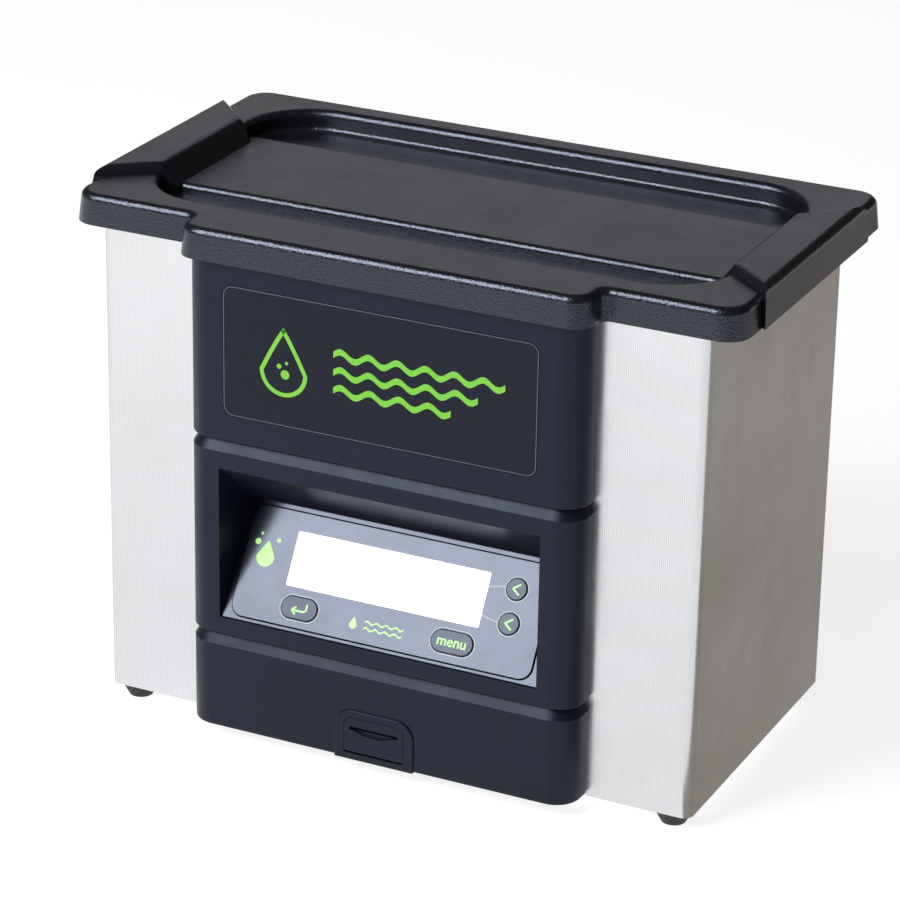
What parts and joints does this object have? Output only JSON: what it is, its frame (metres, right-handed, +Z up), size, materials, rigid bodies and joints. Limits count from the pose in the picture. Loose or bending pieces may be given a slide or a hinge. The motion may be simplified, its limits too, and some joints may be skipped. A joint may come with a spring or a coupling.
{
  "type": "ultrasonic cleaner",
  "caption": "Bench-top heated ultrasonic bath: steel casing, drop-in tank under a tray-shaped lift-off lid, dark fascia with a recessed sloped control panel and a drain hatch, on rubber feet",
  "frame": {"origin": "bottom centre of the overall box, on the plane of the feet", "axes": "+Z up, +X along the longest side to the viewer's right, -Y is the front with the control panel, +Y is the back with the mains inlet"},
  "size_m": [0.3336, 0.195, 0.2575],
  "materials": {
    "aluminium": "machined",
    "black_plastic": "satin",
    "brass": "machined",
    "brushed_steel": "fine linen-embossed satin",
    "capacitor_blue": "sleeved",
    "ceramic": "fired ceramic",
    "circuit_board": "solder mask",
    "copper": "enamelled",
    "display_body": "blank light screen",
    "display_glass": "clear",
    "fascia_plastic": "satin, fine grain",
    "ferrite": "matte",
    "foam_seal": "matte",
    "foot_rubber": "matte",
    "fuse_ceramic": "white ceramic",
    "gloss_black": "gloss",
    "key_plastic": "gloss",
    "label_foil": "blank foil",
    "lid_plastic": "fine grain",
    "nylon": "natural",
    "plain_steel": "turned",
    "polished_steel": "polished",
    "rocker_plastic": "satin",
    "silicone": "translucent matte",
    "silicone_orange": "matte",
    "wire_insulation": "satin",
    "zinc_steel": "bright zinc plated"
  },
  "bodies": {
    "housing": {"back_masses": "plain_steel", "base_plate": "zinc_steel", "board_pillars": "brass", "board_screws": "zinc_steel", "board_spacers": "nylon", "capacitors": "capacitor_blue", "casing_wrap": "brushed_steel", "ceramic_rings": "ceramic", "control_board": "circuit_board", "control_overlay": "gloss_black", "display_module": "display_body", "display_window": "display_glass", "drain_bush": "polished_steel", "drain_hose": "silicone", "drain_nut": "brass", "drain_spout": "brass", "drain_valve": "brass", "earth_stud": "brass", "electrode_tabs": "brass", "fascia_bottom": "fascia_plastic", "fascia_middle": "fascia_plastic", "fascia_screws": "zinc_steel", "fascia_top": "fascia_plastic", "filter_choke": "copper", "foot_screws": "zinc_steel", "generator_board": "circuit_board", "hatch_pin": "zinc_steel", "heat_sink": "aluminium", "heater_pads": "silicone_orange", "hose_clips": "zinc_steel", "inlet_pins": "brass", "key_switches": "black_plastic", "label_plate": "gloss_black", "mains_inlet": "black_plastic", "panel_screws": "zinc_steel", "power_transistors": "black_plastic", "rating_plate": "label_foil", "rubber_foot_back_left": "foot_rubber", "rubber_foot_back_right": "foot_rubber", "rubber_foot_front_left": "foot_rubber", "rubber_foot_front_right": "foot_rubber", "switch_frame": "black_plastic", "tank": "polished_steel", "tank_seal": "foam_seal", "thermostat": "black_plastic", "transducer_bells": "aluminium", "transducer_bolts": "zinc_steel", "transformer_core": "ferrite", "transformer_winding": "copper", "wiring": "wire_insulation"},
    "lid_body": {"lid": "lid_plastic"},
    "enter_key": {"key_enter": "key_plastic"},
    "menu_key": {"key_menu": "key_plastic"},
    "upper_key": {"key_upper": "key_plastic"},
    "lower_key": {"key_lower": "key_plastic"},
    "hatch": {"drain_hatch": "fascia_plastic"},
    "knob": {"drain_knob": "black_plastic"},
    "rocker": {"switch_rocker": "rocker_plastic"},
    "drawer": {"fuse_drawer": "black_plastic", "fuse_link": "fuse_ceramic"}
  },
  "joints": [
    {"name": "lid_lift", "type": "slide", "parent": "housing", "child": "lid_body", "axis": [0, 0, 1], "range_m": [0, 0.16]},
    {"name": "hatch_hinge", "type": "hinge", "parent": "housing", "child": "hatch", "pos_m": [0, -0.0933, 0.0119], "axis": [1, 0, 0], "range_deg": [0, 95]},
    {"name": "drain_knob_turn", "type": "hinge", "parent": "housing", "child": "knob", "pos_m": [-0.007, -0.05, 0.0195], "axis": [0, 1, 0], "range_deg": [0, 90]},
    {"name": "rocker_tilt", "type": "hinge", "parent": "housing", "child": "rocker", "pos_m": [-0.072, 0.0845, 0.038], "axis": [0, 0, -1], "range_deg": [0, 18]},
    {"name": "fuse_drawer_pull", "type": "slide", "parent": "housing", "child": "drawer", "axis": [0, 1, 0], "range_m": [0, 0.018]},
    {"name": "enter_press", "type": "slide", "parent": "housing", "child": "enter_key", "axis": [0, 0.8572, -0.515], "range_m": [0, 0.0006], "stiffness_N_per_m": 600, "springref_m": -0.0002},
    {"name": "menu_press", "type": "slide", "parent": "housing", "child": "menu_key", "axis": [0, 0.8572, -0.515], "range_m": [0, 0.0006], "stiffness_N_per_m": 600, "springref_m": -0.0002},
    {"name": "upper_press", "type": "slide", "parent": "housing", "child": "upper_key", "axis": [0, 0.8572, -0.515], "range_m": [0, 0.0006], "stiffness_N_per_m": 600, "springref_m": -0.0002},
    {"name": "lower_press", "type": "slide", "parent": "housing", "child": "lower_key", "axis": [0, 0.8572, -0.515], "range_m": [0, 0.0006], "stiffness_N_per_m": 600, "springref_m": -0.0002}
  ]
}
